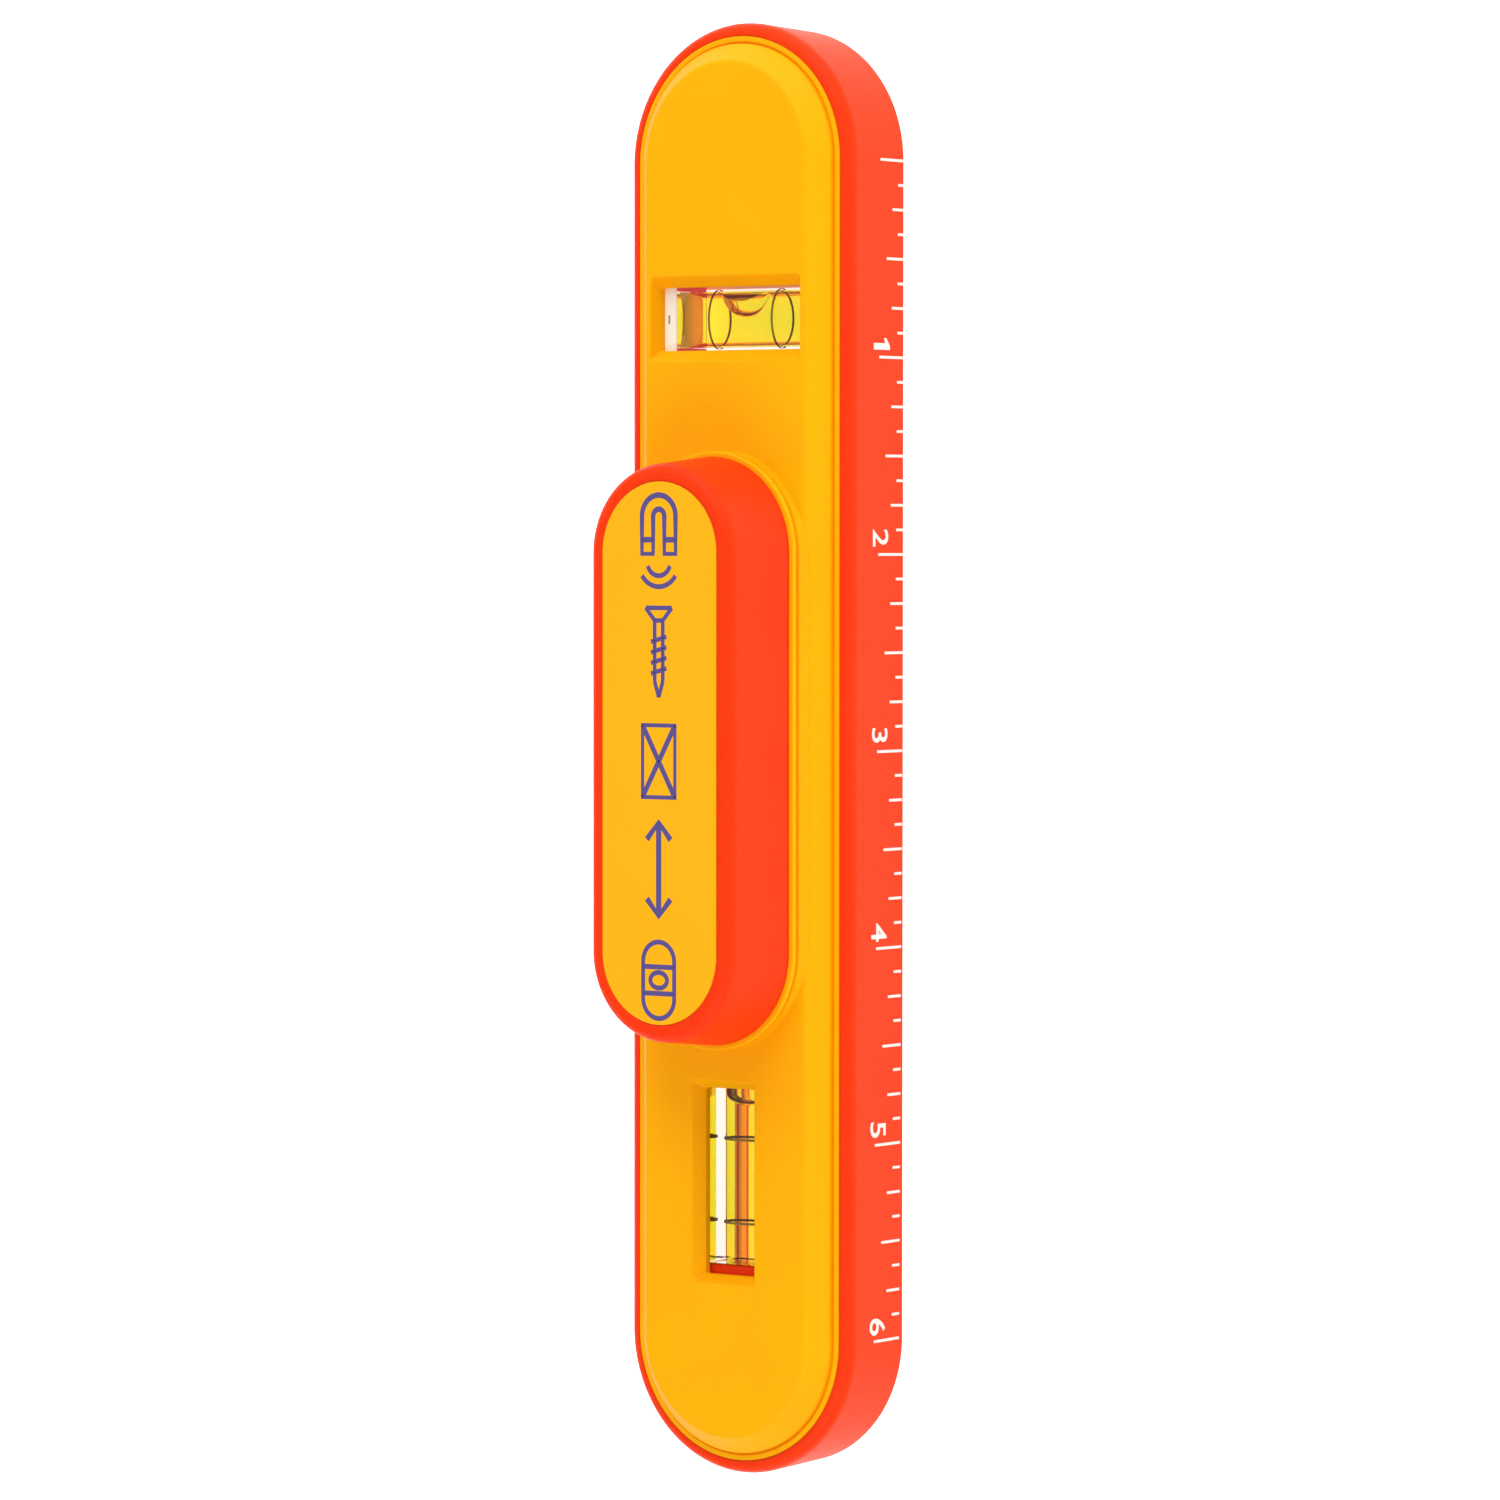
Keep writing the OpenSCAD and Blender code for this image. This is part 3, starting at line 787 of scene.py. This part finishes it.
def outline_curve(name, points):
    """A filled flat shape from its outline."""
    data = bpy.data.curves.new(name, "CURVE")
    data.dimensions = "2D"
    data.fill_mode = "BOTH"
    data.extrude = 0.02 * MM
    path = data.splines.new("POLY")
    path.points.add(len(points) - 1)
    for point, (x, y) in zip(path.points, points):
        point.co = (x * MM, y * MM, 0.0, 1.0)
    path.use_cyclic_u = True
    return data


def digit_curve(name, inch):
    """The shape of one inch number, its lower right corner at the origin."""
    if inch == 1:
        # a plain one with a short flag
        stem = [(-0.85, 0.0), (0.0, 0.0), (0.0, 3.7), (-0.5, 3.7), (-1.5, 2.9), (-1.5, 2.35), (-0.85, 2.65)]
        return outline_curve(name, stem)
    data = bpy.data.curves.new(name, "FONT")
    data.body = str(inch)
    data.size = DIGIT_SIZE * MM
    data.offset = 0.04 * MM
    data.extrude = 0.02 * MM
    data.resolution_u = 6
    data.align_x = "RIGHT"
    return data


def make_numerals():
    """The inch numbers, each beside its mark, tops towards the wall."""
    lean = math.atan2(DRAFT, TRAY_H - TRAY_ROUND - 0.25)
    right = Vector((0.0, -1.0, 0.0))
    up = Vector((-math.sin(lean), 0.0, -math.cos(lean)))
    turn = Matrix((right, up, right.cross(up))).transposed().to_4x4()
    for inch in range(1, 7):
        name = "numeral_%d" % inch
        numeral = bpy.data.objects.new(name, digit_curve(name, inch))
        bpy.context.scene.collection.objects.link(numeral)
        base_z = DIGIT_FOOT_Z + RULER_DRIFT * (inch - 1)
        # just proud of the leaning side, and a little before the mark
        wall_x = TRAY_FOOT_R + DRAFT * base_z / (TRAY_H - TRAY_ROUND) + 0.03
        base_y = BODY_HALF - inch * INCH + 0.95 - 0.06 * (inch - 1)
        place = Matrix.Translation(Vector((wall_x, base_y, base_z)) * MM)
        flatten(numeral, name, WHITE_INK, place @ turn)


make_numerals()


# ---------------------------------------------------------------- pictogram on the label

def stroke(name, paths, width=0.75):
    """Printed lines on the label: each path is a list of (x, y), closed when it ends at its start."""
    data = bpy.data.curves.new(name, "CURVE")
    data.dimensions = "3D"
    data.bevel_depth = width / 2 * MM
    data.bevel_resolution = 3
    data.use_fill_caps = True
    for path in paths:
        closed = path[0] == path[-1]
        points = path[:-1] if closed else path
        line = data.splines.new("POLY")
        line.points.add(len(points) - 1)
        for point, (x, y) in zip(line.points, points):
            point.co = (x * MM, y * MM, 0.0, 1.0)
        line.use_cyclic_u = closed
    obj = bpy.data.objects.new(name, data)
    bpy.context.scene.collection.objects.link(obj)
    flat = Matrix.Translation((0.0, 0.0, label_high.z * MM)) @ Matrix.Diagonal((1.0, 1.0, 0.05, 1.0))
    flatten(obj, name, BLUE_INK, flat)


def turn_points(cx, cy, rx, ry, start, end, steps=20):
    """Points of a flat arc or part of an ellipse, angles in degrees."""
    found = []
    for i in range(steps + 1):
        a = math.radians(start + (end - start) * i / steps)
        found.append((round(cx + rx * math.cos(a), 4), round(cy + ry * math.sin(a), 4)))
    return found


def make_pictogram():
    """Magnet, screw, stud in section, sliding arrow and level vial, one under the other."""
    outer = [(2.7, 25.5)] + turn_points(0.0, 30.3, 2.7, 2.7, 0, 180) + [(-2.7, 25.5)]
    inner = [(-0.9, 25.5)] + turn_points(0.0, 30.3, 0.9, 0.9, 180, 0, 10) + [(0.9, 25.5)]
    magnet = outer + inner + [(2.7, 25.5)]
    tips = [[(-2.7, 27.3), (-0.9, 27.3)], [(0.9, 27.3), (2.7, 27.3)]]
    stroke("print_magnet", [magnet] + tips)
    pull = [turn_points(0.0, 24.6, 1.9, 1.9, 200, 340, 10), turn_points(0.0, 24.6, 3.3, 3.3, 215, 325, 10)]
    stroke("print_pull", pull, 0.65)
    # straight pieces, so that the sharp corners keep their full width
    body = [(0.65, 9.2), (0.0, 7.2), (-0.65, 9.2), (-0.65, 17.0), (-2.1, 18.6), (2.1, 18.6), (0.65, 17.0)]
    outline = [[a, b] for a, b in zip(body, body[1:] + body[:1])]
    neck = [[(-0.65, 17.0), (0.65, 17.0)]]
    thread = [[(-1.25, 10.2 + i * 1.35), (1.25, 10.9 + i * 1.35)] for i in range(4)]
    stroke("print_screw", outline + neck + thread, 0.6)
    stud = [[(-2.6, 3.6), (2.6, 3.6), (2.6, -5.6), (-2.6, -5.6), (-2.6, 3.6)]]
    stud += [[(-2.6, 3.6), (2.6, -5.6)], [(2.6, 3.6), (-2.6, -5.6)]]
    stroke("print_stud", stud)
    arrow = [[(0.0, -9.0), (0.0, -20.6)], [(-1.9, -11.0), (0.0, -8.8), (1.9, -11.0)]]
    arrow += [[(-1.9, -18.6), (0.0, -20.8), (1.9, -18.6)]]
    stroke("print_arrow", arrow, 0.85)
    tube = turn_points(0.0, -26.6, 2.5, 2.5, 0, 180) + turn_points(0.0, -31.4, 2.5, 2.5, 180, 360)
    tube += [tube[0]]
    marks = [[(-2.5, -27.3), (2.5, -27.3)], [(-2.5, -30.7), (2.5, -30.7)]]
    bubble = turn_points(0.0, -29.0, 1.35, 1.0, 0, 360, 24)
    bubble[-1] = bubble[0]
    stroke("print_level", [tube, bubble] + marks, 0.65)


make_pictogram()


# ---------------------------------------------------------------- floor and light

def make_stage():
    """The pale floor under the tool. It glows, so that it comes out white."""
    bm = bmesh.new()
    bmesh.ops.create_grid(bm, x_segments=1, y_segments=1, size=3.0)
    mesh = bpy.data.meshes.new("floor")
    bm.to_mesh(mesh)
    bm.free()
    floor = bpy.data.objects.new("floor", mesh)
    bpy.context.scene.collection.objects.link(floor)
    # a hair below the back face, so that the two never lie in one plane
    floor.location.z = -0.1 * MM
    material, _, shader = new_material("floor")
    shader.inputs["Base Color"].default_value = (0.85, 0.85, 0.85, 1.0)
    shader.inputs["Roughness"].default_value = 0.9
    shader.inputs["Emission Color"].default_value = (1.0, 1.0, 1.0, 1.0)
    shader.inputs["Emission Strength"].default_value = 0.85
    mesh.materials.append(material)


def area_light(name, place, size, power):
    """A square lamp aimed at the middle of the tool."""
    data = bpy.data.lights.new(name, "AREA")
    data.shape = "SQUARE"
    data.size = size
    data.energy = power
    lamp = bpy.data.objects.new(name, data)
    lamp.location = place
    lamp.rotation_euler = (-Vector(place)).to_track_quat("-Z", "Y").to_euler()
    bpy.context.scene.collection.objects.link(lamp)


def make_light():
    """An even white sky, two lamps, and enough light bounces for the vials."""
    scene = bpy.context.scene
    world = bpy.data.worlds.new("world")
    scene.world = world
    world.use_nodes = True
    sky = world.node_tree.nodes["Background"]
    sky.inputs["Color"].default_value = (1.0, 1.0, 1.0, 1.0)
    sky.inputs["Strength"].default_value = 0.62
    area_light("key", (0.2, 1.1, 0.75), 0.9, 10.5)
    area_light("front", (0.3, -0.9, 0.9), 0.8, 6.0)
    scene.view_settings.view_transform = "Standard"
    scene.cycles.max_bounces = 24
    scene.cycles.transmission_bounces = 16
    scene.cycles.glossy_bounces = 8
    scene.cycles.diffuse_bounces = 5


make_stage()
make_light()
